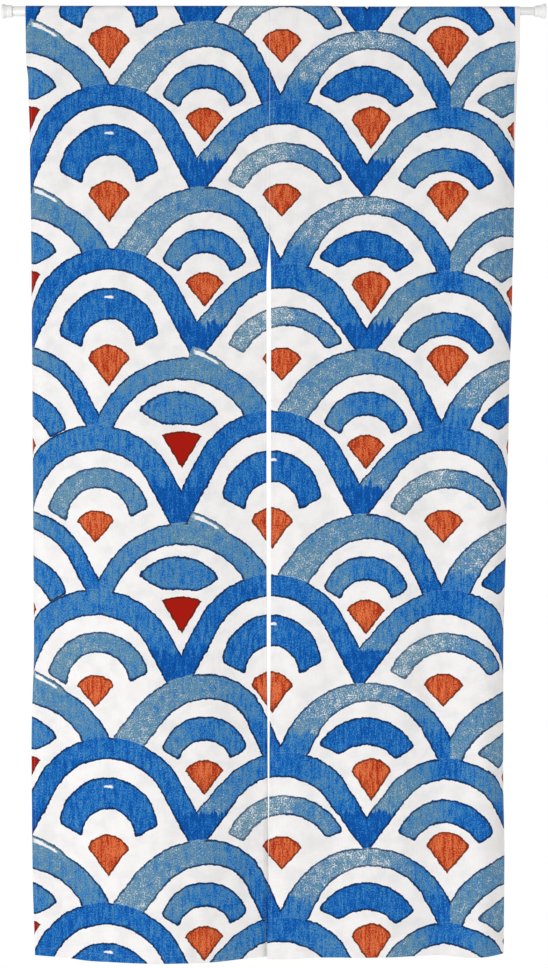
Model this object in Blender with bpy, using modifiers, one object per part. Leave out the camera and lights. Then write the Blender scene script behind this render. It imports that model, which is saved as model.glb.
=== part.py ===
"""A two-panel noren door curtain on a white tension rod, in metres with +Z up.

The origin is the middle of the left end cap's pad. +X runs along the rod and -Y is the printed front.
Each panel is one sheet that rises behind the rod, goes over it and hangs down the front to its hem.
"""

import math

import bmesh
import bpy
import numpy as np

MM = 0.001

# Tension rod, measured from pad to pad
ROD_LENGTH = 937 * MM
OUTER_TUBE_RADIUS = 8.5 * MM
INNER_TUBE_RADIUS = 7.2 * MM
TUBE_WALL = 1.0 * MM
OUTER_TUBE_END = 560 * MM
TUBE_OVERLAP = 120 * MM
PAD_THICKNESS = 4 * MM
SEAT_GAP = 0.3 * MM
ROD_SIDES = 32

# Outline of each end cap in mm: distance from the pad's face, radius
LEFT_CAP_OUTLINE = (
    (0.0, 11.3),
    (0.8, 12.2),
    (3.2, 12.2),
    (5.4, 10.9),
    (9.0, 10.4),
    (17.0, 10.4),
    (18.0, 9.8),
)
RIGHT_CAP_OUTLINE = (
    (0.0, 11.6),
    (3.0, 12.8),
    (5.6, 12.6),
    (8.0, 10.6),
    (18.8, 9.4),
    (20.0, 8.8),
)

# Cloth sizes, measured on the flat sheet
CLOTH_THICKNESS = 1.2 * MM
LAYER_GAP = 0.3 * MM
POCKET_DEPTH = 79 * MM
DROP = 1640 * MM
SEAM_X = 461 * MM
SEAM_END = 386 * MM
LEFT_PANEL_WIDTH = 420 * MM
RIGHT_PANEL_WIDTH = 431 * MM
POCKET_BEND = 22 * MM
RADIUS_STEP = 25 * MM
SEWN_WIDTH = 2 * MM
CLOTH_TOP = OUTER_TUBE_RADIUS + SEAT_GAP + CLOTH_THICKNESS

# How far a seam holds the folds flat beside it, and how fast it lets go below its end
SEAM_HOLD = 60 * MM
SEAM_RELEASE = 150 * MM

# Mesh of each panel
COLUMNS = 20
EDGE_CROWDING = 0.45
STRAIGHT_ROWS = 5
QUARTER_ARC_ROWS = 6
HANG_ROWS = 40
FINE_STEPS = 240

# Hanging edges of each panel, a row for each distance below the cloth's top. In mm: cloth turned in
# at the slit, the panel's shift towards the slit, and how far its slit edge tucks back. In degrees:
# how far its outer edge curls back
EDGE_COLUMNS = ("drop", "turned", "shift", "tuck", "curl")
LEFT_EDGES = (
    (79, 0.15, 0.0, 0.0, 0),
    (130, 0.15, 0.0, 0.0, 38),
    (230, 0.15, 0.0, 0.0, 53),
    (386, 0.15, 0.0, 0.0, 63),
    (475, 5.5, 0.0, 1.5, 66),
    (680, 5.5, 0.0, 2.5, 71),
    (890, 5.5, 0.0, 2.5, 74),
    (1100, 5.5, 0.6, 2.5, 73),
    (1300, 5.5, 2.0, 3.5, 34),
    (1500, 5.5, 3.2, 5.0, 18),
    (1640, 5.5, 4.2, 6.5, 30),
)
RIGHT_EDGES = (
    (79, 0.15, 0.0, 0.0, 0),
    (130, 0.15, 0.0, 0.0, 32),
    (230, 0.15, 0.0, 0.0, 44),
    (386, 0.15, 0.0, 0.0, 50),
    (475, 2.4, 0.0, 1.0, 56),
    (680, 2.4, 0.0, 1.5, 68),
    (890, 2.4, 0.0, 1.5, 75),
    (1100, 2.4, 0.4, 1.5, 82),
    (1300, 2.4, 2.8, 1.0, 72),
    (1500, 2.4, 4.4, 0.5, 57),
    (1640, 2.4, 6.6, 0.5, 50),
)
LEFT_CURL_WIDTH = 36 * MM
RIGHT_CURL_WIDTH = 55 * MM
TUCK_WIDTH = 16 * MM
STEEPEST_SLOPE = 0.9

# Folds in mm, forward when positive: distance from the slit edge at the pocket and at the hem,
# half width, depth at half the drop, depth at the hem
FOLD_COLUMNS = ("from_slit_top", "from_slit_hem", "half_width", "depth_middle", "depth_hem")
LEFT_FOLDS = (
    (225, 195, 115, 13, 29),
    (376, 372, 42, -4, -8),
    (34, 26, 34, -3, -8),
    (120, 104, 30, 2, 3),
)
RIGHT_FOLDS = (
    (52, 50, 40, 5, 8),
    (165, 172, 60, 3, 6),
    (284, 298, 38, -7, -13),
    (358, 366, 34, 6, 11),
)

# Uneven hem: distance from the slit edge as a share of the width, extra length in mm. The extra
# length comes in by this power of the way down
HEM_POWER = 3
LEFT_HEM = ((0.0, 2.5), (0.3, 6.0), (0.75, 6.0), (1.0, 0.0))
RIGHT_HEM = ((0.0, 4.0), (0.2, 1.0), (0.8, 0.0), (1.0, -1.0))

# Colours of the materials
CLOTH_COLOUR = (0.40, 0.56, 0.76, 1.0)
TUBE_COLOUR = (0.86, 0.86, 0.84, 1.0)
CAP_COLOUR = (0.90, 0.90, 0.89, 1.0)


def clear_scene():
    for obj in list(bpy.data.objects):
        bpy.data.objects.remove(obj, do_unlink=True)


def make_collection(name):
    collection = bpy.data.collections.new(name)
    bpy.context.scene.collection.children.link(collection)
    return collection


def make_material(name, colour, roughness, metallic=0.0):
    material = bpy.data.materials.new(name)
    material.use_nodes = True
    shader = material.node_tree.nodes["Principled BSDF"]
    shader.inputs["Base Color"].default_value = colour
    shader.inputs["Roughness"].default_value = roughness
    shader.inputs["Metallic"].default_value = metallic
    material.diffuse_color = colour
    return material


def add_object(name, mesh, material, collection):
    mesh.materials.append(material)
    obj = bpy.data.objects.new(name, mesh)
    collection.objects.link(obj)
    return obj


# Rod


def turned(name, outline, closed, material, collection):
    """A solid of revolution about the object's own Z, from (radius, height) points."""
    points = [(radius, 0.0, height) for radius, height in outline]
    edges = [(i, i + 1) for i in range(len(points) - 1)]
    if closed:
        edges.append((len(points) - 1, 0))
    mesh = bpy.data.meshes.new(name)
    mesh.from_pydata(points, edges, [])
    obj = add_object(name, mesh, material, collection)
    screw = obj.modifiers.new("Turn", "SCREW")
    screw.steps = ROD_SIDES
    screw.render_steps = ROD_SIDES
    screw.use_merge_vertices = True
    screw.merge_threshold = 0.01 * MM
    screw.use_smooth_shade = True
    return obj


def lay_along_x(obj, start, towards_right):
    """Turns the object's Z to +X or -X and puts its foot at the start."""
    obj.rotation_euler = (0.0, math.radians(90 if towards_right else -90), 0.0)
    obj.location = (start, 0.0, 0.0)


def make_tube(name, start, end, radius, material, collection):
    length = end - start
    inner = radius - TUBE_WALL
    outline = [(inner, 0.0), (inner, length), (radius, length), (radius, 0.0)]
    tube = turned(name, outline, True, material, collection)
    lay_along_x(tube, start, True)


def make_cap(name, start, towards_right, outline_rows, tube_radius, material, collection):
    """A foot with a blind socket that the tube's end goes into."""
    socket = tube_radius + SEAT_GAP
    outer = [(radius * MM, height * MM) for height, radius in reversed(outline_rows)]
    mouth = outer[0][1]
    inside = [(0.0, PAD_THICKNESS), (socket, PAD_THICKNESS), (socket, mouth)]
    foot = [(0.0, 0.0)]
    cap = turned(name, inside + outer + foot, False, material, collection)
    lay_along_x(cap, start, towards_right)


def make_rod(collection):
    painted = make_material("white_painted_steel", TUBE_COLOUR, 0.35)
    plastic = make_material("white_plastic", CAP_COLOUR, 0.4)
    seat = PAD_THICKNESS + SEAT_GAP
    inner_start = OUTER_TUBE_END - TUBE_OVERLAP
    make_tube("rod_outer_tube", seat, OUTER_TUBE_END, OUTER_TUBE_RADIUS, painted, collection)
    inner_end = ROD_LENGTH - seat
    make_tube("rod_inner_tube", inner_start, inner_end, INNER_TUBE_RADIUS, painted, collection)
    make_cap("end_cap_left", 0.0, True, LEFT_CAP_OUTLINE, OUTER_TUBE_RADIUS, plastic, collection)
    make_cap(
        "end_cap_right", ROD_LENGTH, False, RIGHT_CAP_OUTLINE, INNER_TUBE_RADIUS, plastic, collection
    )


# Cloth


def smooth_step(value):
    value = np.clip(value, 0.0, 1.0)
    return value * value * (3.0 - 2.0 * value)


def eased(at, places, values):
    """Values between the rows of a table, eased so that no row makes a corner."""
    places = np.asarray(places, float)
    values = np.asarray(values, float)
    row = np.clip(np.searchsorted(places, at, side="right") - 1, 0, len(places) - 2)
    share = smooth_step((at - places[row]) / (places[row + 1] - places[row]))
    return values[row] + share * (values[row + 1] - values[row])


def edge_value(panel, column, drop):
    """One column of a panel's edge table at a distance below the cloth's top, in the table's units."""
    rows = np.array(panel["edges"], float)
    return eased(drop / MM, rows[:, 0], rows[:, EDGE_COLUMNS.index(column)])


def fold_depth(folds, from_slit, share):
    """Forward depth of the cloth at a share of the way from the pocket to the hem."""
    depth = np.zeros_like(from_slit)
    for row in folds:
        fold = dict(zip(FOLD_COLUMNS, row))
        centre = fold["from_slit_top"] + share * (fold["from_slit_hem"] - fold["from_slit_top"])
        middle = 4.0 * share * (1.0 - share) * fold["depth_middle"]
        hem = share * (2.0 * share - 1.0) * fold["depth_hem"]
        across = (from_slit - centre * MM) / (fold["half_width"] * MM)
        depth += (middle + hem) * MM * np.exp(-(across**2))
    return depth


def seam_pinned(depth, from_slit, drop):
    """Holds the folds flat beside the seam that joins the panels."""
    hold = 1.0 - smooth_step((drop - SEAM_END) / SEAM_RELEASE)
    return depth - hold * depth[0] * np.exp(-((from_slit / SEAM_HOLD) ** 2))


def columns_of(panel, drop):
    """Flat distances from the seam line of the columns at one level, closer together at both edges."""
    turned = edge_value(panel, "turned", drop) * MM
    spread = np.linspace(0.0, 1.0, COLUMNS + 1)
    crowd = EDGE_CROWDING * np.sin(2 * math.pi * spread) / (2 * math.pi)
    return turned + (panel["width"] - turned) * (spread - crowd)


def running_sum(values, step):
    """Integral of the values from the first one on, by trapezoids."""
    return np.concatenate([[0.0], np.cumsum((values[1:] + values[:-1]) * step / 2)])


def hanging_section(panel, share, drop):
    """Outward distance from the seam line and forward depth of the columns at one level."""
    at = columns_of(panel, drop)
    fine = np.linspace(at[0], at[-1], FINE_STEPS + 1)
    step = fine[1] - fine[0]
    depth = seam_pinned(fold_depth(panel["folds"], fine, share), fine, drop)
    tuck = edge_value(panel, "tuck", drop) * MM
    depth = depth - tuck * np.exp((at[0] - fine) / TUCK_WIDTH)
    fold_angle = np.arcsin(np.clip(np.gradient(depth, step), -STEEPEST_SLOPE, STEEPEST_SLOPE))
    curl = math.radians(edge_value(panel, "curl", drop))
    into_curl = np.clip(1.0 - (panel["width"] - fine) / panel["curl_width"], 0.0, 1.0)
    angle = fold_angle - curl * into_curl
    outward = at[0] + running_sum(np.cos(angle), step)
    forward = depth[0] + running_sum(np.sin(angle), step)
    shift = edge_value(panel, "shift", drop) * MM
    return np.interp(at, fine, outward) - shift, np.interp(at, fine, forward)


def loop_radius(x):
    """Radius of the cloth's middle surface where it goes over the rod."""
    past_step = smooth_step((x - OUTER_TUBE_END) / RADIUS_STEP)
    tube = OUTER_TUBE_RADIUS + past_step * (INNER_TUBE_RADIUS - OUTER_TUBE_RADIUS)
    return tube + SEAT_GAP + CLOTH_THICKNESS / 2


def pocket_half(x):
    """(y, z) rows from the stitch line up the back of the pocket to the top of the rod, at each x."""
    radius = loop_radius(x)
    stitch_y = (CLOTH_THICKNESS + LAYER_GAP) / 2
    stitch_z = CLOTH_TOP - POCKET_DEPTH
    reach = math.hypot(stitch_y, stitch_z)
    touch = math.atan2(-stitch_z, stitch_y) - np.arccos(radius / reach)
    touch_y = radius * np.cos(touch)
    touch_z = -radius * np.sin(touch)
    rows = []
    for i in range(STRAIGHT_ROWS):
        share = i / STRAIGHT_ROWS
        rows.append((stitch_y + share * (touch_y - stitch_y), stitch_z + share * (touch_z - stitch_z)))
    for i in range(QUARTER_ARC_ROWS + 1):
        angle = -touch + i / QUARTER_ARC_ROWS * (touch + math.pi / 2)
        rows.append((radius * np.cos(angle), radius * np.sin(angle)))
    return rows


def panel_rows(panel):
    """(x, y, z) of each row of a panel's middle surface, from the back flap over the rod to the hem."""
    at = columns_of(panel, POCKET_DEPTH)
    x = SEAM_X + panel["direction"] * at
    back = pocket_half(x)
    front = [(-y, z) for y, z in reversed(back[:-1])]
    rows = [(x, y, z) for y, z in back + front]
    (above_y, above_z), (stitch_y, stitch_z) = front[-2], front[-1]
    slope = (stitch_y - above_y) / (above_z - stitch_z)
    hem = eased(at / panel["width"], *zip(*panel["hem"])) * MM
    for i in range(1, HANG_ROWS + 1):
        share = i / HANG_ROWS
        drop = POCKET_DEPTH + share * (DROP - POCKET_DEPTH)
        outward, forward = hanging_section(panel, share, drop)
        settle = POCKET_BEND * (1.0 - math.exp((POCKET_DEPTH - drop) / POCKET_BEND))
        rows.append((
            SEAM_X + panel["direction"] * outward,
            stitch_y + slope * settle - forward,
            CLOTH_TOP - drop - hem * share**HEM_POWER,
        ))
    return rows


def sew_pocket(obj, panel, helpers):
    """Joins the back flap to the front with a narrow strip along the stitch line."""
    first, last = columns_of(panel, POCKET_DEPTH)[[0, -1]]
    strip = bmesh.new()
    bmesh.ops.create_cube(strip, size=1.0)
    mesh = bpy.data.meshes.new(panel["name"] + "_stitch")
    strip.to_mesh(mesh)
    strip.free()
    sewn = bpy.data.objects.new(mesh.name, mesh)
    sewn.location = (
        SEAM_X + panel["direction"] * (first + last) / 2,
        0.0,
        CLOTH_TOP - POCKET_DEPTH + SEWN_WIDTH,
    )
    sewn.scale = (last - first - SEWN_WIDTH, CLOTH_THICKNESS + LAYER_GAP, SEWN_WIDTH)
    sewn.hide_render = True
    sewn.display_type = "WIRE"
    helpers.objects.link(sewn)
    join = obj.modifiers.new("Sewn pocket", "BOOLEAN")
    join.operation = "UNION"
    join.object = sewn


def make_panel(panel, material, collection, helpers):
    """A grid laid on the panel's rows and thickened to the cloth."""
    rows = panel_rows(panel)
    grid = bmesh.new()
    bmesh.ops.create_grid(grid, x_segments=COLUMNS, y_segments=len(rows) - 1, size=0.5)
    for vertex in grid.verts:
        column = round((vertex.co.x + 0.5) * COLUMNS)
        row = round((vertex.co.y + 0.5) * (len(rows) - 1))
        x, y, z = rows[row]
        vertex.co = (x[column], y[column], z[column])
    mesh = bpy.data.meshes.new(panel["name"])
    grid.to_mesh(mesh)
    grid.free()
    mesh.shade_smooth()
    obj = add_object(panel["name"], mesh, material, collection)
    cloth = obj.modifiers.new("Cloth thickness", "SOLIDIFY")
    cloth.thickness = CLOTH_THICKNESS
    cloth.offset = 0.0
    cloth.use_even_offset = True
    sew_pocket(obj, panel, helpers)


def make_curtain(collection, helpers):
    cotton = make_material("printed_cotton", CLOTH_COLOUR, 0.9)
    left = {
        "name": "panel_left",
        "direction": -1,
        "width": LEFT_PANEL_WIDTH,
        "edges": LEFT_EDGES,
        "curl_width": LEFT_CURL_WIDTH,
        "folds": LEFT_FOLDS,
        "hem": LEFT_HEM,
    }
    right = {
        "name": "panel_right",
        "direction": 1,
        "width": RIGHT_PANEL_WIDTH,
        "edges": RIGHT_EDGES,
        "curl_width": RIGHT_CURL_WIDTH,
        "folds": RIGHT_FOLDS,
        "hem": RIGHT_HEM,
    }
    make_panel(left, cotton, collection, helpers)
    make_panel(right, cotton, collection, helpers)


def main():
    clear_scene()
    collection = make_collection("noren_curtain")
    make_rod(collection)
    make_curtain(collection, make_collection("helpers"))


main()
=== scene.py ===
import collections
import math

import bpy
import numpy as np
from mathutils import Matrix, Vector


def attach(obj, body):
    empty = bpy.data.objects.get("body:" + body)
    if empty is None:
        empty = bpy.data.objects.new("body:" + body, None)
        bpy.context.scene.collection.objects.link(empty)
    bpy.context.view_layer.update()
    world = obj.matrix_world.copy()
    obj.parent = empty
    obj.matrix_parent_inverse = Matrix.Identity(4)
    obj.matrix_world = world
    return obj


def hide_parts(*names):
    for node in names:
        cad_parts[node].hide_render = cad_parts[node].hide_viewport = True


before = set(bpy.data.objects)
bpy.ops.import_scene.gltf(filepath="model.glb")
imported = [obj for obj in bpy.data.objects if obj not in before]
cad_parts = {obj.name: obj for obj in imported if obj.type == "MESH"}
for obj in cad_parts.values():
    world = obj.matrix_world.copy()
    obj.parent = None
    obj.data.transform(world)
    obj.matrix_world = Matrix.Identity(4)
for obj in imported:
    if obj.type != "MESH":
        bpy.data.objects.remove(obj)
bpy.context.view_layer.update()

MM = 0.001

# Camera, straight in front of the curtain
CAMERA_DISTANCE = 3500 * MM
CAMERA_HEIGHT = -815 * MM
PICTURE_HEIGHT = 1668.8 * MM
SENSOR = 36.0

# Floor and light
FLOOR_LEVEL = -2000 * MM
FLOOR_RADIUS = 1300 * MM
FLOOR_SIDES = 128
WORLD_LIGHT = 0.6
KEY_LIGHT = {"place": (-2.3, -2.0, -1.1), "size": 1.6, "power": 54.0}
FILL_LIGHT = {"place": (2.4, -2.4, -1.3), "size": 2.2, "power": 28.0}
BACK_LIGHT = {"place": (0.9, 2.6, 0.3), "size": 2.0, "power": 30.0}

# Rod, as in the CAD model
ROD_LENGTH = 937 * MM
OUTER_TUBE_RADIUS = 8.5 * MM
INNER_TUBE_RADIUS = 7.2 * MM
TUBE_WALL = 1.0 * MM
OUTER_TUBE_END = 560 * MM
TUBE_OVERLAP = 120 * MM
TUBE_LIP = 0.3 * MM
PAD_THICKNESS = 4 * MM
SEAT_GAP = 0.3 * MM
ROD_SIDES = 96

# Outline of each foot from its pad, in mm: height, radius, share of the corner rounding. Both pads
# have the same face
PAD_FACE = (
    (0.0, 9.2, 0.6), (0.5, 8.8, 0.6), (0.5, 8.0, 0.6), (0.0, 7.6, 0.6), (0.0, 5.2, 0.6),
    (0.5, 4.8, 0.6), (0.5, 4.0, 0.6), (0.0, 3.6, 0.6), (0.0, 0.4, 0),
)
LEFT_FOOT = (
    (4.0, 0.4, 0), (4.0, 8.8, 0), (18.0, 8.8, 0), (18.0, 9.8, 0.6), (16.6, 10.4, 1), (9.4, 10.4, 1),
    (8.9, 10.0, 0.5), (8.4, 10.0, 0.5), (7.9, 10.5, 0.5), (5.4, 10.9, 1), (3.6, 12.1, 1),
    (0.9, 12.2, 1), (0.0, 11.3, 0.8), *PAD_FACE,
)
RIGHT_FOOT = (
    (4.0, 0.4, 0), (4.0, 7.5, 0), (20.0, 7.5, 0), (20.0, 8.6, 0.6), (18.8, 9.4, 1), (13.6, 10.0, 1),
    (13.1, 9.6, 0.5), (12.6, 9.6, 0.5), (12.1, 10.1, 0.5), (8.0, 10.6, 1), (5.6, 12.6, 1),
    (3.0, 12.8, 1), (0.6, 12.4, 1), (0.0, 11.6, 0.8), *PAD_FACE,
)
CORNER_ROUND = 0.9
CORNER_STEPS = 4

# Cloth, as in the CAD model but thinner and resting on the rod
CAD_THICKNESS = 1.2 * MM
LAYER_GAP = 0.3 * MM
POCKET_DEPTH = 79 * MM
DROP = 1640 * MM
SEAM_X = 461 * MM
SEAM_END = 386 * MM
LEFT_PANEL_WIDTH = 420 * MM
RIGHT_PANEL_WIDTH = 431 * MM
POCKET_BEND = 22 * MM
RADIUS_STEP = 25 * MM
CLOTH_TOP = OUTER_TUBE_RADIUS + SEAT_GAP + CAD_THICKNESS
SEAM_HOLD = 60 * MM
SEAM_RELEASE = 150 * MM
CLOTH_THICKNESS = 0.7 * MM
ROD_CONTACT = 0.12 * MM

TUCK_WIDTH = 16 * MM
STEEPEST_SLOPE = 0.9
HEM_POWER = 3

# Fine mesh of each panel. Distances in mm of the extra lines beside each edge, for hems and stitches
SIDE_LINES = (0.0, 0.6, 2.2, 4.4, 6.2, 7.0, 7.8, 8.6, 11.0, 15.0, 20.0)
HEM_LINES = (0.0, 0.6, 3.0, 7.0, 11.0, 13.0, 13.8, 14.6, 15.4, 18.0, 22.0)
STITCH_LINES = (0.0, 0.8, 1.6, 3.0, 5.0)
PLAIN_COLUMN = 5.0 * MM
PLAIN_ROW = 5.3 * MM
POCKET_ROW = 3.2 * MM
ARC_ROWS = 12
FINE_STEPS = 420

# Hems, measured on the finished panel
SIDE_HEM = 7.4 * MM
BOTTOM_HEM = 14.2 * MM
HEM_EXTRA = 0.7 * MM
GROOVE_DEPTH = 0.3 * MM
GROOVE_WIDTH = 0.9 * MM
PUCKER_DEPTH = 0.55 * MM
RIPPLE_DEPTH = 0.8 * MM
HEM_RIPPLE_DEPTH = 0.7 * MM
RIPPLE_LENGTHS = (61 * MM, 97 * MM, 143 * MM)
PUCKER_LENGTHS = (21.7 * MM, 34.5 * MM, 13.3 * MM)
HEM_RIPPLE_LENGTHS = (31 * MM, 52 * MM, 19 * MM)
RIPPLE_SLANT = 0.03
RIPPLE_GROWTH = 700 * MM
PUCKER_REACH = 26 * MM
HEM_RIPPLE_REACH = 30 * MM
EDGE_HOLD = 6 * MM
EDGE_RELEASE = 30 * MM
BACK_SHIFT = 11 * MM
POCKET_FADE = 20 * MM
ROD_CLEARANCE = 40 * MM
CREASE_FADE = 3

# What each panel is made from, in mm, and curls in degrees. Edges have a value at each edge drop.
# A crease runs between two places, each a distance from the seam line and from the cloth's top, and
# its depth is forward when positive. Phases belong to the ripples
EDGE_DROPS = (79, 130, 230, 386, 475, 680, 890, 1100, 1300, 1500, 1640)
FOLD_COLUMNS = ("from_slit_top", "from_slit_hem", "half_width", "depth_middle", "depth_hem")
CREASE_COLUMNS = ("from_seam_1", "drop_1", "from_seam_2", "drop_2", "half_width", "depth")
LEFT_PANEL = {
    "name": "cloth_left",
    "stitching": "stitching_left",
    "direction": -1,
    "width": LEFT_PANEL_WIDTH,
    "curl_width": 36 * MM,
    "edges": {
        "turned": (0.15,) * 4 + (5.5,) * 7,
        "shift": (0.0,) * 7 + (0.6, 2.0, 3.2, 4.2),
        "tuck": (0.0,) * 4 + (1.5, 2.5, 2.5, 2.5, 3.5, 5.0, 6.5),
        "curl": (0, 38, 53, 63, 66, 71, 74, 73, 34, 18, 30),
    },
    "folds": (
        (225, 195, 115, 13, 29),
        (376, 372, 42, -4, -8),
        (34, 26, 34, -3, -8),
        (120, 104, 30, 2, 3),
    ),
    "hem": ((0.0, 2.5), (0.3, 6.0), (0.75, 6.0), (1.0, 0.0)),
    "creases": (
        (370, 195, 334, 345, 9, -2.2),
        (398, 100, 356, 235, 13, 1.5),
        (150, 84, 190, 190, 14, 1.0),
        (60, 84, 84, 240, 12, -0.9),
        (264, 84, 250, 170, 11, -0.8),
        (410, 1360, 372, 1440, 12, -2.4),
        (385, 1470, 320, 1590, 14, 1.7),
        (330, 1500, 380, 1630, 10, -1.5),
        (210, 1120, 236, 1400, 26, 1.6),
        (95, 620, 112, 980, 22, -1.3),
        (40, 1280, 66, 1560, 13, 1.5),
        (296, 520, 282, 860, 24, 1.2),
        (150, 1500, 128, 1632, 12, -1.6),
        (18, 980, 20, 1240, 9, -1.1),
    ),
    "phases": (0.4, 2.1, 4.4, 1.2, 3.3, 5.1, 0.9, 2.7, 4.0),
}
RIGHT_PANEL = {
    "name": "cloth_right",
    "stitching": "stitching_right",
    "direction": 1,
    "width": RIGHT_PANEL_WIDTH,
    "curl_width": 55 * MM,
    "edges": {
        "turned": (0.15,) * 4 + (2.4,) * 7,
        "shift": (0.0,) * 7 + (0.4, 2.8, 4.4, 6.6),
        "tuck": (0.0,) * 4 + (1.0, 1.5, 1.5, 1.5, 1.0, 0.5, 0.5),
        "curl": (0, 32, 44, 50, 56, 68, 75, 82, 72, 57, 50),
    },
    "folds": (
        (52, 50, 40, 5, 8),
        (165, 172, 60, 3, 6),
        (284, 298, 38, -7, -13),
        (358, 366, 34, 6, 11),
    ),
    "hem": ((0.0, 4.0), (0.2, 1.0), (0.8, 0.0), (1.0, -1.0)),
    "creases": (
        (18, 470, 24, 760, 12, 1.2),
        (70, 84, 82, 260, 12, -0.9),
        (190, 84, 172, 200, 13, 0.9),
        (322, 84, 346, 220, 12, -1.0),
        (268, 1120, 290, 1230, 13, -2.6),
        (330, 1080, 352, 1240, 12, 2.2),
        (300, 1440, 352, 1530, 11, 2.0),
        (330, 1500, 392, 1548, 10, -2.0),
        (230, 700, 214, 1080, 26, 1.4),
        (120, 1000, 146, 1420, 22, -1.4),
        (90, 1490, 72, 1630, 12, -1.5),
        (204, 1520, 226, 1634, 12, 1.4),
        (400, 420, 372, 610, 13, 1.6),
        (396, 800, 380, 980, 10, -1.4),
    ),
    "phases": (1.7, 0.3, 3.1, 4.9, 2.2, 0.8, 5.6, 1.1, 3.7),
}

# Stitches
STITCH_LENGTH = 3.1 * MM
STITCH_PITCH = 4.2 * MM
THREAD_RADIUS = 0.17 * MM
THREAD_SHOWS = 0.35
THREAD_SIDES = 5
SIDE_STITCH = 6.2 * MM
BOTTOM_STITCH = 13.0 * MM
SEAM_STITCH = 3.4 * MM
BAR_TACK = 9 * MM
STITCH_SHAPE = ((0.0, -0.4, 0.6), (0.15, 0.7, 1.0), (0.85, 0.7, 1.0), (1.0, -0.4, 0.6))
FIRST_STITCH = 0.1
REVERSE_SHIFT = 0.5
HEM_LINE_INSET = 6 * MM
SLIT_LINE_START = 90 * MM
SLANTED_LINE_END = 88 * MM
SEAM_INSET = 1.1 * MM
SEAM_START = 2 * MM
SEAM_SLANT = 0.3 * SEAM_STITCH
BAR_STEP = 2.2 * THREAD_RADIUS

# Printed pattern of overlapping wave scales, charted. Lengths are in mm from the middle of
# the scale's fan, upwards and to the right, and the flare is in degrees. Tones run from 0, deep
# blue, to about 1, pale and grainy
KIND_COLUMNS = (
    "arch_centre", "arch_radius", "arch_shift", "arch_lean", "flare",
    "band_centre", "band_shift", "band_radius", "clear_of_next",
    "ring_centre", "ring_radius", "hollow_centre", "hollow_radius", "ring_shift",
    "fan_tip", "fan_top", "fan_centre", "fan_spread", "fan_red",
    "outer_far_left", "outer_left", "outer_top", "outer_right", "outer_far_right",
    "inner_left", "inner_top", "inner_right",
    "valley_left", "valley_right", "grain", "streak", "dash", "band_lean",
)
KINDS = {
    "bell": (
        61, 141, 0, 0, 62, 61, 0, 103, 166, 47, 86, 33, 45, 0, 37, 35, -5, 0.75, 0,
        0.08, 0.04, 0.05, 0.14, 0.08, 0.10, 0.08, 0.04, 1, 1, 0.0, 0, 1, 0,
    ),
    "teal": (
        38, 137, -14, 0.135, 53, 38, 0, 94, 148, -9, 110, -9, 76, 7, 28, 31, -9, 0.89, 0,
        0.65, 0.42, 0.02, 0.34, 0.06, 1.20, 1.05, 0.55, 1, 1, 0.8, 0, 0, 0,
    ),
    "half": (
        31, 132, 0, 0, 53, 31, 0, 94, 152, 0, 92, -12, 62, -3, 37, 36, -4, 0.75, 0,
        0.85, 0.75, 0.05, 0.55, 0.08, 0.62, 0.38, 0.05, 1, 1, 0.2, 0, 0, 0,
    ),
    "round": (
        30, 147, 0, 0, 62, 30, 0, 102, 148, 14, 90, 15, 53, 5, 27, 30, -8, 0.88, 0,
        0.35, 0.32, 0.30, 0.25, 0.12, 0.80, 0.75, 0.60, 0, 1, 0.3, 0, 0, 0,
    ),
    "steel": (
        45, 131, -26, 0.14, 58, 48, -14, 84, 166, 26, 77, 17, 44, 0, 32, 28, -11, 0.80, 0,
        0.90, 0.70, 0.65, 0.40, 0.12, 0.55, 0.30, 0.28, 0, 0.5, 0.5, 0, 0, 0.15,
    ),
    "streak": (
        -2, 163, 7, 0, 62, 0, 0, 122, 186, 17, 86, -121, 166, -7, 31, 34, -52, 0.60, 1,
        0.30, 0.50, 0.68, 0.56, 0.28, 0.42, 0.38, 0.35, 0, 0, 0.2, 1, 0, 0,
    ),
    "broad": (
        5, 155, -7, 0, 62, 26, 0, 101, 166, 5, 95, -9, 61, -9, 45, 30, -8, 0.655, 0,
        0.45, 0.75, 0.95, 0.42, 0.16, 0.02, 0.02, 0.05, 0.4, 0.5, 0.8, 0, 0, 0,
    ),
    "edge": (
        16, 126, -15, 0, 62, 2, -23, 89, 152, -60, 134, -46, 71, 3, 47, 11, -26, 0.80, 0.3,
        0.75, 0.70, 0.75, 0.60, 0.50, 0.80, 0.60, 0.50, 0, 0, 0.4, 0, 0, 0,
    ),
    "corner": (
        45, 138, 0, 0, 62, 45, 0, 107, 152, 12, 95, 0, 64, 0, 33, 33, -3, 0.80, 0.4,
        0.30, 0.60, 0.75, 0.35, 0.08, 0.70, 0.55, 0.25, 0, 0, 0.3, 0, 0, 0,
    ),
}
# Scales of a row from left to right: middle of the fan along the rod, kind, and where the next starts
LAYOUTS = {
    "main": ((184, "bell", 335), (482, "teal", 629), (768, "half", 914), (1060, "bell", 1200)),
    "offset": ((31, "streak", 193), (349, "steel", 479), (636, "broad", 773), (905, "edge", 1050)),
    "shifted_main": (
        (161, "round", 310), (465, "bell", 615), (761, "teal", 906), (1052, "half", 1200),
    ),
    "shifted_offset": (
        (21, "corner", 167), (310, "streak", 475), (627, "steel", 758), (914, "broad", 1050),
    ),
}
PRINT_ROWS = (
    (-212, "main"), (-62, "offset"), (72, "main"), (204, "offset"), (337, "main"), (488, "offset"),
    (620, "main"), (768, "shifted_offset"), (900, "shifted_main"), (1052, "shifted_offset"),
    (1183, "shifted_main"), (1327, "offset"), (1462, "main"), (1611, "offset"), (1746, "main"),
    (1890, "offset"),
)
ROW_STEP = 139.5
FIRST_ROW = 2
COLUMN_HALF = 145.0
NEXT_CENTRE = 34.0
ROW_REACH = 224.0

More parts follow.
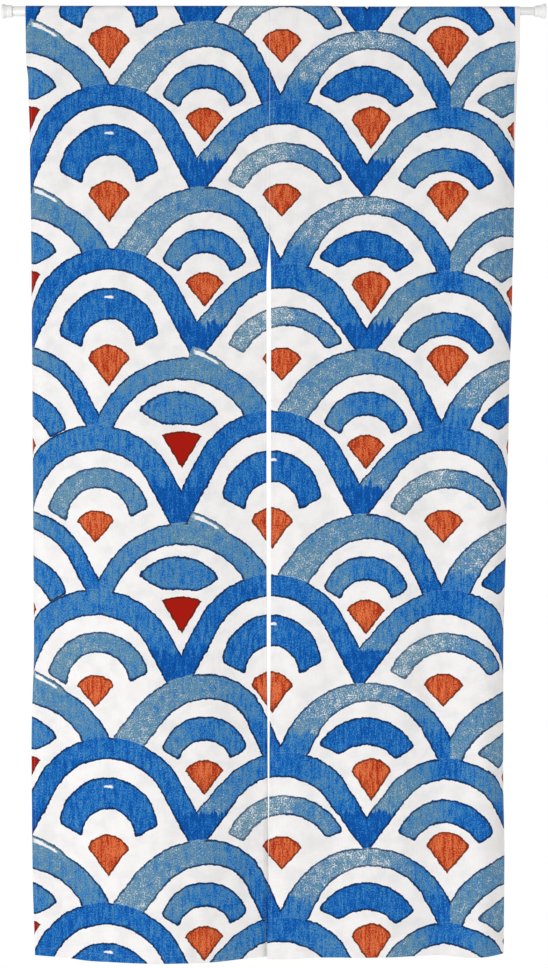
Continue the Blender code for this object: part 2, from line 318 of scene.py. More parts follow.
# Edges of the paint, in mm, and their uneven wobble
WOBBLE = 8.0
WOBBLE_FINENESS = 0.07
WOBBLE_CHANGE = 3.7
WOBBLE_DETAIL = 3.0
WOBBLE_ROUGHNESS = 0.7
PAINT_EDGE = (-0.35, 0.35)
OUTLINE = 3.5
OUTLINE_EDGE = (0.6 * OUTLINE, 1.3 * OUTLINE)
OUTLINE_GRAIN = 1.4
OUTLINE_SHARE = 0.96
OUTLINE_FADE = 0.3
FAN_OUTLINE = 0.8
JOINED_DEPTH = 12.0
BAND_ROUNDING = 2.0
FAN_SLANT = 0.82
FAN_ROUNDING = 3.0
RING_FLOOR = 5.0
RING_ROUNDING = 8.0
FLOOR_ROUNDING = 4.0
END_ROUNDING = 14.0

# Dry stroke past the top of a streaked scale: lengths in mm, angles in degrees from the top
DRY_HEIGHT = 20.0
DRY_START = 3.0
DRY_TAPER = 0.8
DRY_GAP = 8.0
DRY_RISE = (1, 4)
DRY_PALER = 0.5
DRY_EDGE = 4.0
SLIVER_RISE = (4, 6)
SLIVER_FALL = (19, 21)
SLIVER_SHARE = 0.16

# Small bare dash at the top of the bell's ring, in mm
DASH_HEIGHT = 117.0
DASH_HALF_WIDTH = (1.2, 2.4)
DASH_HALF_LENGTH = (6.0, 10.0)

# Noises in the paint: fineness along and down the cloth, offset, detail and roughness
PAINT_NOISES = {
    "streaks": (0.2, 0.03, 0.0, 4.0, 0.62),
    "patches": (0.08, 0.07, 3.0, 3.0, 0.65),
    "grain": (0.5, 0.4, 0.0, 2.0, 0.55),
    "specks": (0.46, 0.43, 7.0, 3.0, 0.65),
    "clouds": (0.035, 0.035, 0.0, 2.0, 0.5),
}

# Tone: angles of the tone columns, and the deep valleys between two scales, in mm
SHOULDER = 40
FOOT = 85
INNER_END = 45
CLOUD_TURN = 0.7
VALLEY_TOP = (69.0, 75.0)
VALLEY_SIDE = (84.0, 100.0)
VALLEY_BLOTS = 30.0
VALLEY_STREAKS = 50.0
VALLEY_DEPTH = 0.18

# Ink: how tone and noises shift its colour, and how it breaks into flecks
TONE_SHARE = 0.7
TONE_START = 0.2
BLUE_SWAYS = (("streaks", 1.3), ("grain", 1.9), ("patches", 0.7))
RED_SWAYS = (("streaks", 3.4), ("grain", 3.4))
PALE_TONES = (0.05, 0.9)
PALE_OUTLINES = (0.5, 1.1)
DARK_FLECKS = 0.35
DARK_FLECK_EDGE = 0.3
BARE_LIMIT = 0.66
BARE_PATCHES = 0.5
BARE_FLECK_EDGE = 0.16
BARE_OFTEN = (0.1, 0.18)
BARE_SHARE = 0.1
BARE_SHOWS = (0.42, 0.92)
SHADE_CLOUDS = (0.35, 0.7)

# End of the print at the bare selvedge
PLAIN_STRIP = 9.3 * MM
PLAIN_STRIP_LENGTH = 345 * MM
PRINT_END = SEAM_X + RIGHT_PANEL_WIDTH - PLAIN_STRIP
PRINT_SKEW = PLAIN_STRIP / PLAIN_STRIP_LENGTH

# Materials: pitch in mm or fineness per mm of their grain, depth of its relief, and wear
WEAVE_PITCH = 1.15
WEAVE_WANDER = 2.0
WEAVE_SHARE = 0.35
WEAVE_DEPTH = 0.12 * MM
SLUB_ALONG = 0.06
SLUB_ACROSS = 1.1
SLUB_SHARE = 0.9
REVERSE_BARE = 0.52
TWIST_PITCH = 0.5
TWIST_DEPTH = 0.05 * MM
PEEL_FINENESS = 0.5
PEEL_DEPTH = 0.06 * MM
PEEL_ROUGHNESS = (0.24, 0.34)
SCUFF_FINENESS = (0.9, 0.05, 0.05)
SCUFF_EDGE = (0.58, 0.75)
SCUFF_SHARE = 0.5
SCUFF_ROUGHNESS = 0.5
SCUFF_RELIEF = 0.3
MOULD_FINENESS = 3.0
MOULD_DEPTH = 0.03 * MM
MOULD_ROUGHNESS = (0.36, 0.56)
DIRT_FINENESS = 0.25
DIRT_EDGE = (0.5, 0.8)
DIRT_SHARE = 0.6
MOTTLE_FINENESS = 0.004


# Folds, as in the CAD model


def smooth_step(value):
    value = np.clip(value, 0.0, 1.0)
    return value * value * (3.0 - 2.0 * value)


def eased(at, places, values):
    """Values between the rows of a table, eased so that no row makes a corner."""
    places = np.asarray(places, float)
    values = np.asarray(values, float)
    row = np.clip(np.searchsorted(places, at, side="right") - 1, 0, len(places) - 2)
    share = smooth_step((at - places[row]) / (places[row + 1] - places[row]))
    return values[row] + share * (values[row + 1] - values[row])


def edge_value(panel, column, drop):
    return eased(drop / MM, EDGE_DROPS, panel["edges"][column])


def fold_depth(folds, from_slit, share):
    """Forward depth of the cloth at a share of the way from the pocket to the hem."""
    depth = np.zeros_like(from_slit)
    for row in folds:
        fold = dict(zip(FOLD_COLUMNS, row))
        centre = fold["from_slit_top"] + share * (fold["from_slit_hem"] - fold["from_slit_top"])
        middle = 4.0 * share * (1.0 - share) * fold["depth_middle"]
        hem = share * (2.0 * share - 1.0) * fold["depth_hem"]
        across = (from_slit - centre * MM) / (fold["half_width"] * MM)
        depth += (middle + hem) * MM * np.exp(-(across**2))
    return depth


def seam_pinned(depth, from_slit, drop):
    """Holds the folds flat beside the seam that joins the panels."""
    hold = 1.0 - smooth_step((drop - SEAM_END) / SEAM_RELEASE)
    return depth - hold * depth[0] * np.exp(-((from_slit / SEAM_HOLD) ** 2))


def columns_of(panel, drop):
    """Flat distances from the seam line of the columns at one level."""
    turned = edge_value(panel, "turned", drop) * MM
    return turned + (panel["width"] - turned) * panel["shares"]


def running_sum(values, step):
    return np.concatenate([[0.0], np.cumsum((values[1:] + values[:-1]) * step / 2)])


def hanging_section(panel, share, drop):
    """Outward distance, forward depth and distance along the print of the columns at one level."""
    at = columns_of(panel, drop)
    fine = np.linspace(at[0], at[-1], FINE_STEPS + 1)
    step = fine[1] - fine[0]
    depth = seam_pinned(fold_depth(panel["folds"], fine, share), fine, drop)
    tuck = edge_value(panel, "tuck", drop) * MM
    depth = depth - tuck * np.exp((at[0] - fine) / TUCK_WIDTH)
    fold_angle = np.arcsin(np.clip(np.gradient(depth, step), -STEEPEST_SLOPE, STEEPEST_SLOPE))
    curl = math.radians(edge_value(panel, "curl", drop))
    into_curl = np.clip(1.0 - (panel["width"] - fine) / panel["curl_width"], 0.0, 1.0)
    angle = fold_angle - curl * into_curl
    outward = at[0] + running_sum(np.cos(angle), step)
    forward = depth[0] + running_sum(np.sin(angle), step)
    shift = edge_value(panel, "shift", drop) * MM
    outward = outward - shift
    curl_start = panel["width"] - panel["curl_width"]
    printed = np.interp(np.minimum(at, curl_start), fine, outward) + np.maximum(at - curl_start, 0.0)
    return np.interp(at, fine, outward), np.interp(at, fine, forward), printed


# Cloth as fine meshes


def between(start, end, step):
    """Evenly spaced numbers between two ends, both left out."""
    count = max(1, round((end - start) / step))
    return list(np.linspace(start, end, count + 1)[1:-1])


def column_shares(width):
    """Places of the columns as shares of the width, with extra lines for the hems."""
    near = [line * MM for line in SIDE_LINES]
    far = [width - line for line in reversed(near)]
    return np.array(near + between(near[-1], far[0], PLAIN_COLUMN) + far) / width


def loop_radius(x):
    """Radius of the cloth's middle where it lies on the rod."""
    past_step = smooth_step((x - OUTER_TUBE_END) / RADIUS_STEP)
    tube = OUTER_TUBE_RADIUS + past_step * (INNER_TUBE_RADIUS - OUTER_TUBE_RADIUS)
    return tube + ROD_CONTACT + CLOTH_THICKNESS / 2


def pocket_half(x):
    """(length, y, z) rows from below the stitch line up the back of the pocket to the rod's top."""
    radius = loop_radius(x)
    stitch_y = (CAD_THICKNESS + LAYER_GAP) / 2
    stitch_z = CLOTH_TOP - POCKET_DEPTH
    reach = math.hypot(stitch_y, stitch_z)
    touch = math.atan2(-stitch_z, stitch_y) - np.arccos(radius / reach)
    touch_y = radius * np.cos(touch)
    touch_z = -radius * np.sin(touch)
    straight = np.hypot(touch_y - stitch_y, touch_z - stitch_z)
    near = [line * MM for line in STITCH_LINES]
    tail = [-line for line in reversed(near[1:])]
    plain = between(near[-1], POCKET_DEPTH - 2 * OUTER_TUBE_RADIUS, POCKET_ROW)
    rows = []
    level = 0.0 * x
    for length in tail:
        rows.append((level + length, level + stitch_y, level + stitch_z + length))
    for length in near + plain:
        share = length / straight
        rows.append((
            level + length,
            stitch_y + share * (touch_y - stitch_y),
            stitch_z + share * (touch_z - stitch_z),
        ))
    for i in range(ARC_ROWS + 1):
        turn = i / ARC_ROWS * (touch + math.pi / 2)
        angle = turn - touch
        rows.append((straight + radius * turn, radius * np.cos(angle), radius * np.sin(angle)))
    return rows


def hang_drops():
    """Distances below the cloth's top of the rows under the stitch line."""
    near = [POCKET_DEPTH + line * MM for line in STITCH_LINES[1:]]
    far = [DROP - line * MM for line in reversed(HEM_LINES)]
    return near + between(near[-1], far[0], PLAIN_ROW) + far


def crease_depth(creases, from_seam, drop):
    """Forward depth of a panel's creases: each a soft trough or ridge that fades at both ends."""
    depth = np.zeros_like(from_seam)
    for row in creases:
        crease = dict(zip(CREASE_COLUMNS, row))
        start = np.array([crease["from_seam_1"], crease["drop_1"]]) * MM
        run = np.array([crease["from_seam_2"], crease["drop_2"]]) * MM - start
        length = math.hypot(*run)
        along = ((from_seam - start[0]) * run[0] + (drop - start[1]) * run[1]) / length**2
        across = ((from_seam - start[0]) * run[1] - (drop - start[1]) * run[0]) / length
        fade = smooth_step(along * CREASE_FADE + 0.5) * smooth_step((1 - along) * CREASE_FADE + 0.5)
        width = crease["half_width"] * MM
        depth += crease["depth"] * MM * fade * np.exp(-((across / width) ** 2))
    return depth


def waves(at, lengths, phases):
    """Sum of a few unequal waves, from -1 to 1."""
    total = sum(np.sin(math.tau * at / length + phase) for length, phase in zip(lengths, phases))
    return total / len(lengths)


def relief(panel, from_seam, drop, x):
    """Forward depth of creases, puckers at the stitches and small ripples, on the front."""
    inside = smooth_step((panel["width"] - from_seam) / panel["curl_width"])
    held = smooth_step((from_seam - EDGE_HOLD) / EDGE_RELEASE) * inside
    phases = panel["phases"]
    down = smooth_step((drop - POCKET_DEPTH) / RIPPLE_GROWTH)
    ripples = waves(x + RIPPLE_SLANT * drop, RIPPLE_LENGTHS, phases[0:3]) * RIPPLE_DEPTH * down
    pucker = waves(x, PUCKER_LENGTHS, phases[3:6]) * PUCKER_DEPTH
    pucker = pucker * np.exp(-np.abs(drop - POCKET_DEPTH) / PUCKER_REACH)
    hem = waves(x, HEM_RIPPLE_LENGTHS, phases[6:9]) * HEM_RIPPLE_DEPTH
    hem = hem * np.exp(-np.abs(DROP - BOTTOM_STITCH - drop) / HEM_RIPPLE_REACH)
    depth = crease_depth(panel["creases"], from_seam, drop) + ripples + pucker + hem
    return depth * held


def grooves(panel, from_seam, drop):
    """How far the stitch lines pull the cloth in."""
    lines = (
        drop - POCKET_DEPTH,
        DROP - BOTTOM_STITCH - drop,
        panel["width"] - SIDE_STITCH - from_seam,
        from_seam - columns_of(panel, drop)[0] - SIDE_STITCH,
    )
    return GROOVE_DEPTH * sum(np.exp(-((line / GROOVE_WIDTH) ** 2)) for line in lines)


def below_rod(length):
    """1 on the pocket's straight sides, fading to 0 where the cloth meets the rod."""
    return smooth_step((POCKET_DEPTH - 2 * OUTER_TUBE_RADIUS - length) / POCKET_FADE)


def panel_grid(panel):
    """Places, flat distances, drops and print places of a panel's middle, from the flap to the hem."""
    at = columns_of(panel, POCKET_DEPTH)
    x = SEAM_X + panel["direction"] * at
    back = pocket_half(x)
    top_length = back[-1][0]
    rows = []
    for length, y, z in back:
        drop = length - top_length
        soft = relief(panel, at, POCKET_DEPTH + np.abs(length), x + BACK_SHIFT)
        rows.append((x, y + soft * below_rod(length), z, at, drop, at, drop))
    for length, y, z in reversed(back[len(STITCH_LINES) - 1 : -1]):
        drop = CLOTH_TOP - z
        forward = relief(panel, at, drop, x) * below_rod(length)
        rows.append((x, -y - forward, z, at, drop, at, drop))
    stitch, above = back[len(STITCH_LINES) - 1 : len(STITCH_LINES) + 1]
    slope = (above[1] - stitch[1]) / (above[2] - stitch[2])
    hem = eased(at / panel["width"], *zip(*panel["hem"])) * MM
    for drop in hang_drops():
        share = (drop - POCKET_DEPTH) / (DROP - POCKET_DEPTH)
        outward, forward, printed = hanging_section(panel, share, drop)
        flat = columns_of(panel, drop)
        settle = POCKET_BEND * (1.0 - math.exp((POCKET_DEPTH - drop) / POCKET_BEND))
        forward = forward + relief(panel, flat, drop, x) - grooves(panel, flat, drop)
        rows.append((
            SEAM_X + panel["direction"] * outward,
            -stitch[1] + slope * settle - forward,
            CLOTH_TOP - drop - hem * share**HEM_POWER,
            flat,
            drop + 0.0 * flat,
            printed,
            drop + hem * share**HEM_POWER,
        ))
    return [np.array([row[i] + 0.0 * at for row in rows]) for i in range(7)]


def grid_normals(points, direction):
    """Unit normals of a grid of points, towards the printed side."""
    along = np.gradient(points, axis=0)
    across = np.gradient(points, axis=1)
    normals = np.cross(across, along) * -direction
    return normals / np.linalg.norm(normals, axis=2, keepdims=True)


def hem_extra(panel, flat, drop):
    """Extra thickness on the reverse where the hems are turned over twice."""
    first = flat[:, :1]
    side = np.maximum(flat > panel["width"] - SIDE_HEM, flat < first + SIDE_HEM)
    bottom = drop > DROP - BOTTOM_HEM
    clear_of_rod = smooth_step(drop / ROD_CLEARANCE - 1.0)
    return HEM_EXTRA * np.maximum(side * clear_of_rod, bottom)


def grid_faces(rows, columns, start, turned):
    """Index quads of a grid of rows * columns points."""
    index = start + np.arange(rows * columns).reshape(rows, columns)
    quads = np.stack([index[:-1, :-1], index[:-1, 1:], index[1:, 1:], index[1:, :-1]], axis=-1)
    quads = quads.reshape(-1, 4)
    return quads[:, ::-1] if turned else quads


def border_loop(rows, columns):
    """Indices of the grid's border, once round."""
    index = np.arange(rows * columns).reshape(rows, columns)
    return np.concatenate([index[0, :], index[1:, -1], index[-1, -2::-1], index[-2:0:-1, 0]])


def reverse_print(panel, flat, drop, across, down):
    """Print places on the reverse: hems show the print beyond the fold, mirrored."""
    across = np.where(flat > panel["width"] - SIDE_HEM, 2 * across[:, -1:] - across, across)
    across = np.where(flat < flat[:, :1] + SIDE_HEM, 2 * across[:, :1] - across, across)
    down = np.where(drop > DROP - BOTTOM_HEM, 2 * down[-1:] - down, down)
    return np.stack([SEAM_X + panel["direction"] * across, down], axis=-1)


def make_cloth(panel, materials):
    """A closed thin sheet: printed side, reverse and folded edges."""
    x, y, z, flat, drop, across, down = panel_grid(panel)
    points = np.stack([x, y, z], axis=-1)
    rows, columns = x.shape
    normals = grid_normals(points, panel["direction"])
    front = points + normals * CLOTH_THICKNESS / 2
    extra = hem_extra(panel, flat, drop)[..., None]
    back = points - normals * (CLOTH_THICKNESS / 2 + extra)
    panel["front"], panel["back"], panel["normals"] = front, back, normals
    panel["flat"], panel["drop"] = flat, drop
    count = rows * columns
    vertices = np.concatenate([front.reshape(-1, 3), back.reshape(-1, 3)])
    turned = panel["direction"] > 0
    outer = grid_faces(rows, columns, 0, turned)
    inner = grid_faces(rows, columns, count, not turned)
    loop = border_loop(rows, columns)
    after = np.roll(loop, -1)
    wall = np.stack([loop, loop + count, after + count, after], axis=-1)
    wall = wall[:, ::-1] if turned else wall
    faces = np.concatenate([outer, inner, wall])
    mesh = bpy.data.meshes.new(panel["name"])
    mesh.from_pydata(vertices.tolist(), [], faces.tolist())
    for material in materials:
        mesh.materials.append(material)
    hem = (extra[..., 0] > 0.5 * HEM_EXTRA)[:-1, :-1].reshape(-1)
    shown = np.concatenate([np.zeros(len(outer), int), np.where(hem, 0, 1), np.zeros(len(wall), int)])
    mesh.polygons.foreach_set("material_index", shown.astype(np.int32))
    panel["printed"] = np.stack([SEAM_X + panel["direction"] * across, down], axis=-1)
    reverse = reverse_print(panel, flat, drop, across, down)
    uv = np.concatenate([panel["printed"].reshape(-1, 2), reverse.reshape(-1, 2)])
    layer = mesh.uv_layers.new(name="print")
    layer.data.foreach_set("uv", uv[faces.reshape(-1)].astype(np.float32).reshape(-1))
    mesh.shade_smooth()
    return add_object(panel["name"], mesh)


# Thread


def on_surface(panel, surface, from_seam, drop):
    """Points of a panel's surface at flat distances and drops on its front."""
    start = len(panel["drop"]) - len(hang_drops()) - 1
    drops = panel["drop"][start:, 0]
    row = start + np.interp(drop, drops, np.arange(len(drops)))
    low = np.clip(np.floor(row).astype(int), 0, len(surface) - 2)
    share = (row - low)[:, None]
    found = []
    for r, at in zip(low, from_seam):
        flat = panel["flat"][r]
        column = np.interp(at, flat, np.arange(len(flat)))
        c = min(int(column), surface.shape[1] - 2)
        part = column - c
        found.append([surface[r + i, c] * (1 - part) + surface[r + i, c + 1] * part for i in (0, 1)])
    found = np.array(found)
    return found[:, 0] * (1 - share) + found[:, 1] * share


def add_thread(shape, start, end, outward, place):
    """One stitch: a short thread that bows out of the cloth between its two holes."""
    run = end - start
    side = np.cross(run, outward)
    side = side / np.linalg.norm(side)
    base = len(shape["points"])
    for share, lift, size in STITCH_SHAPE:
        centre = start + share * run + lift * THREAD_RADIUS * outward
        for i in range(THREAD_SIDES):
            angle = math.tau * i / THREAD_SIDES
            around = math.cos(angle) * side + math.sin(angle) * outward
            shape["points"].append(centre + size * THREAD_RADIUS * around)
            shape["places"].append(place)
    rings = len(STITCH_SHAPE) - 1
    for ring in range(rings):
        for i in range(THREAD_SIDES):
            a = base + ring * THREAD_SIDES + i
            b = base + ring * THREAD_SIDES + (i + 1) % THREAD_SIDES
            shape["faces"].append((a, b, b + THREAD_SIDES, a + THREAD_SIDES))
    last = base + rings * THREAD_SIDES
    shape["faces"].append(tuple(range(base + THREAD_SIDES - 1, base - 1, -1)))
    shape["faces"].append(tuple(range(last, last + THREAD_SIDES)))


def sew_line(shape, panel, from_seam_ends, drop_ends):
    """Stitches along a straight line of the flat panel, on the front and on the reverse."""
    length = math.hypot(from_seam_ends[1] - from_seam_ends[0], drop_ends[1] - drop_ends[0])
    count = int(length / STITCH_PITCH)
    starts = (np.arange(count) + FIRST_STITCH) / count
    ends = starts + STITCH_LENGTH / length
    for name, sign, shift in (("front", 1.0, 0.0), ("back", -1.0, REVERSE_SHIFT / count)):
        places = []
        for shares in (starts + shift, ends + shift):
            shares = np.clip(shares, 0, 1)
            from_seam = from_seam_ends[0] + shares * (from_seam_ends[1] - from_seam_ends[0])
            drop = drop_ends[0] + shares * (drop_ends[1] - drop_ends[0])
            places.append(on_surface(panel, panel[name], from_seam, drop))
        outward = on_surface(panel, panel["normals"], from_seam, drop) * sign
        printed = on_surface(panel, panel["printed"], from_seam, drop)
        for start, end, out, place in zip(places[0], places[1], outward, printed):
            add_thread(shape, start, end, out, place)


def make_stitching(panel, material):
    """All the visible stitches of one panel as a single mesh."""
    shape = {"points": [], "faces": [], "places": []}
    first = SIDE_STITCH
    last = panel["width"] - SIDE_STITCH
    low = DROP - BOTTOM_STITCH
    sew_line(shape, panel, (first, last), (POCKET_DEPTH, POCKET_DEPTH))
    sew_line(shape, panel, (first + HEM_LINE_INSET, last), (low, low))
    sew_line(shape, panel, (last, last), (POCKET_DEPTH + STITCH_PITCH, low))
    turned = edge_value(panel, "turned", DROP) * MM
    slit = first + turned
    sew_line(shape, panel, (slit, slit), (SEAM_END + SLIT_LINE_START, low))
    slanted = (SEAM_END + STITCH_PITCH, SEAM_END + SLANTED_LINE_END)
    sew_line(shape, panel, (first, slit), slanted)
    sew_line(shape, panel, (first, first), (POCKET_DEPTH + STITCH_PITCH, SEAM_END))
    return finish_threads(panel["stitching"], shape, material)


def finish_threads(name, shape, material):
    mesh = bpy.data.meshes.new(name)
    mesh.from_pydata([tuple(point) for point in shape["points"]], [], shape["faces"])
    mesh.materials.append(material)
    corners = [index for face in shape["faces"] for index in face]
    places = np.array(shape["places"], np.float32)[corners]
    mesh.uv_layers.new(name="print").data.foreach_set("uv", places.reshape(-1))
    mesh.shade_smooth()
    return add_object(name, mesh)


def make_seam(left, right, material):
    """Thread that joins the panels down to the slit, ending in a close bar of stitches."""
    shape = {"points": [], "faces": [], "places": []}
    drops = np.concatenate([
        np.arange(POCKET_DEPTH + SEAM_START, SEAM_END - BAR_TACK, SEAM_STITCH),
        np.arange(SEAM_END - BAR_TACK, SEAM_END, BAR_STEP),
    ])
    for surface, sign in (("front", 1.0), ("back", -1.0)):
        near = np.full(len(drops), SEAM_INSET)
        starts = on_surface(left, left[surface], near, drops)
        ends = on_surface(right, right[surface], near, drops + SEAM_SLANT)
        outward = on_surface(left, left["normals"], near, drops) * sign
        printed = on_surface(left, left["printed"], near, drops)
        for start, end, out, place in zip(starts, ends, outward, printed):
            add_thread(shape, start, end, out, place)
    return finish_threads("seam_thread", shape, material)


# Rod


def add_object(name, mesh):
    obj = bpy.data.objects.new(name, mesh)
    bpy.context.scene.collection.objects.link(obj)
    return obj


def rounded(outline, radius, steps):
    """The outline with its inner corners rounded. Each point is (height, radius, roundness)."""
    points = []
    for i, (height, out, round_share) in enumerate(outline):
        here = np.array([height, out])
        if i in (0, len(outline) - 1) or round_share == 0:
            points.append(here)
            continue
        before = np.array(outline[i - 1][:2]) - here
        after = np.array(outline[i + 1][:2]) - here
        reach = min(radius * round_share, np.linalg.norm(before) / 2, np.linalg.norm(after) / 2)
        start = here + before / np.linalg.norm(before) * reach
        end = here + after / np.linalg.norm(after) * reach
        for step in range(steps + 1):
            t = step / steps
            points.append((1 - t) ** 2 * start + 2 * t * (1 - t) * here + t**2 * end)
    return points


def turned_solid(name, points, closed, start, towards_right, material):
    """A solid of revolution along the rod from (height, radius) points in metres."""
    profile = np.array(points)
    count = len(profile)
    angles = math.tau * np.arange(ROD_SIDES) / ROD_SIDES
    sign = 1.0 if towards_right else -1.0
    vertices = []
    for height, radius in profile:
        for angle in angles:
            vertices.append((start + sign * height, radius * math.cos(angle), radius * math.sin(angle)))
    faces = []
    rings = count if closed else count - 1
    for ring in range(rings):
        for side in range(ROD_SIDES):
            a = ring * ROD_SIDES + side
            b = ring * ROD_SIDES + (side + 1) % ROD_SIDES
            c = (ring + 1) % count * ROD_SIDES + (side + 1) % ROD_SIDES
            d = (ring + 1) % count * ROD_SIDES + side
            faces.append((a, b, c, d))
    if not closed:
        faces.append(tuple(range(ROD_SIDES - 1, -1, -1)))
        faces.append(tuple(range((count - 1) * ROD_SIDES, count * ROD_SIDES)))
    if not towards_right:
        faces = [face[::-1] for face in faces]
    mesh = bpy.data.meshes.new(name)
    mesh.from_pydata(vertices, [], faces)
    mesh.materials.append(material)
    mesh.shade_smooth()
    return add_object(name, mesh)


def make_tube(name, start, end, radius, material):
    """A tube with rolled ends."""
    length = end - start
    inner = radius - TUBE_WALL
    points = [
        (0.0, inner + TUBE_LIP), (TUBE_LIP, inner),
        (length - TUBE_LIP, inner), (length, inner + TUBE_LIP),
        (length, radius - TUBE_LIP), (length - TUBE_LIP, radius),
        (TUBE_LIP, radius), (0.0, radius - TUBE_LIP),
    ]
    return turned_solid(name, points[::-1], True, start, True, material)


def make_foot(name, outline, start, towards_right, material):
    """A turned foot with a flared pad, moulded rings and a socket for the tube."""
    points = [point * MM for point in rounded(outline, CORNER_ROUND, CORNER_STEPS)]
    return turned_solid(name, points[::-1], False, start, towards_right, material)


def make_rod(painted, moulded):
    """Both tubes and both feet. Returns the tubes, which the cloth rests on."""
    seat = PAD_THICKNESS + SEAT_GAP
    inner_start = OUTER_TUBE_END - TUBE_OVERLAP
    inner_end = ROD_LENGTH - seat
    outer = make_tube("tube_outer", seat, OUTER_TUBE_END, OUTER_TUBE_RADIUS, painted)
    inner = make_tube("tube_inner", inner_start, inner_end, INNER_TUBE_RADIUS, painted)
    left = make_foot("foot_left", LEFT_FOOT, 0.0, True, moulded)
    right = make_foot("foot_right", RIGHT_FOOT, ROD_LENGTH, False, moulded)
    pieces = (
        (outer, "rod_outer_tube", "tube"),
        (inner, "rod_inner_tube", "tube"),
        (left, "end_cap_left", "cap"),
        (right, "end_cap_right", "cap"),
    )
    for piece, node, slot in pieces:
        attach(piece, "root")
        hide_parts(node)
    return [outer, inner]


# Shader arithmetic


def math_method(operation, swapped=False):
    """A method that adds one math node."""

    def method(self, *others):
        values = (*others, self) if swapped else (self, *others)
        return calculate(self.tree, operation, *values)

    return method


class Number:
    """A number inside a material: arithmetic on it adds math nodes."""

    __add__ = math_method("ADD")
    __radd__ = math_method("ADD", swapped=True)
    __sub__ = math_method("SUBTRACT")
    __rsub__ = math_method("SUBTRACT", swapped=True)
    __mul__ = math_method("MULTIPLY")
    __rmul__ = math_method("MULTIPLY", swapped=True)
    __abs__ = math_method("ABSOLUTE")
    above = math_method("GREATER_THAN")

    def __init__(self, tree, socket):
        self.tree = tree
        self.socket = socket


def plug(tree, value, socket):
    """Links a number to a socket, or sets the socket to a plain value."""
    if isinstance(value, Number):
        tree.links.new(value.socket, socket)
    else:
        socket.default_value = value


def calculate(tree, operation, *values):
    node = tree.nodes.new("ShaderNodeMath")
    node.operation = operation
    for value, socket in zip(values, node.inputs):
        plug(tree, value, socket)
    return Number(tree, node.outputs[0])


def length_of(x, y):
    return calculate(x.tree, "SQRT", x * x + y * y)


def blend(first, second, share):
    """A number between two, by a share from 0 to 1."""
    return first + (second - first) * share


def smooth(value, low, high):
    """0 below low, 1 above high, and a smooth rise between them."""
    node = value.tree.nodes.new("ShaderNodeMapRange")
    node.interpolation_type = "SMOOTHSTEP"
    plug(value.tree, value, node.inputs["Value"])
    plug(value.tree, low, node.inputs["From Min"])
    plug(value.tree, high, node.inputs["From Max"])
    return Number(value.tree, node.outputs["Result"])


def fall(value, low, high):
    """1 below low, 0 above high."""
    return 1.0 - smooth(value, low, high)


def larger(first, second):
    return calculate(first.tree, "MAXIMUM", first, second)


def whole(value):
    return calculate(value.tree, "ROUND", value)


def sway(value, amount):
    """A noise number as a shift to both sides of 0."""
    return (value - 0.5) * amount


def colour_parts(tree, socket):
    parts = tree.nodes.new("ShaderNodeSeparateColor")
    tree.links.new(socket, parts.inputs["Color"])
    return [Number(tree, output) for output in parts.outputs]


def noise(x, y, z=0.0, detail=2.0, roughness=0.5):
    """Two independent noise numbers, each about 0.5."""
    tree = x.tree
    place = tree.nodes.new("ShaderNodeCombineXYZ")
    for value, socket in zip((x, y, z), place.inputs):
        plug(tree, value, socket)
    node = tree.nodes.new("ShaderNodeTexNoise")
    tree.links.new(place.outputs["Vector"], node.inputs["Vector"])
    for name, value in (("Scale", 1.0), ("Detail", detail), ("Roughness", roughness)):
        node.inputs[name].default_value = value
    return colour_parts(tree, node.outputs["Color"])[:2]


def lookup(index, rows):
    """The numbers of one row of a table, picked by its index through a stepped ramp."""
    tree = index.tree
    count = len(rows)
    lows = [min(column) for column in zip(*rows)]
    spans = [max(column) - low or 1.0 for column, low in zip(zip(*rows), lows)]
    node = tree.nodes.new("ShaderNodeValToRGB")
    node.color_ramp.interpolation = "CONSTANT"
    elements = node.color_ramp.elements
    elements.remove(elements[1])
    for place, row in enumerate(rows):
        element = elements[0] if place == 0 else elements.new(place / count)
        shares = [(value - low) / span for value, low, span in zip(row, lows, spans)]
        element.color = (shares + [0.0] * 4)[:4]
    plug(tree, (index + 0.5) * (1 / count), node.inputs["Fac"])
    numbers = [*colour_parts(tree, node.outputs["Color"]), Number(tree, node.outputs["Alpha"])]
    return [number * span + low for number, low, span in zip(numbers, lows, spans)]


def colour(red, green, blue):
    """A colour as linear light from the 0 to 255 values seen on a screen."""
    shares = (red / 255, green / 255, blue / 255)
    return tuple(c / 12.92 if c <= 0.04045 else ((c + 0.055) / 1.055) ** 2.4 for c in shares) + (1.0,)


def mix_colours(tree, first, second, share, kind="MIX"):
    """A colour between two, each a colour or a socket."""
    node = tree.nodes.new("ShaderNodeMix")
    node.data_type = "RGBA"
    node.blend_type = kind
    plug(tree, share, node.inputs[0])
    for value, socket in ((first, node.inputs[6]), (second, node.inputs[7])):
        if isinstance(value, tuple):
            socket.default_value = value
        else:
            tree.links.new(value, socket)
    return node.outputs[2]


def colour_ramp(tree, share, stops):
    """A smooth run of colours."""
    node = tree.nodes.new("ShaderNodeValToRGB")
    elements = node.color_ramp.elements
    elements[0].position, elements[0].color = stops[0]
    elements[1].position, elements[1].color = stops[-1]
    for position, value in stops[1:-1]:
        elements.new(position).color = value
    plug(tree, share, node.inputs["Fac"])
    return node.outputs["Color"]


# Printed pattern

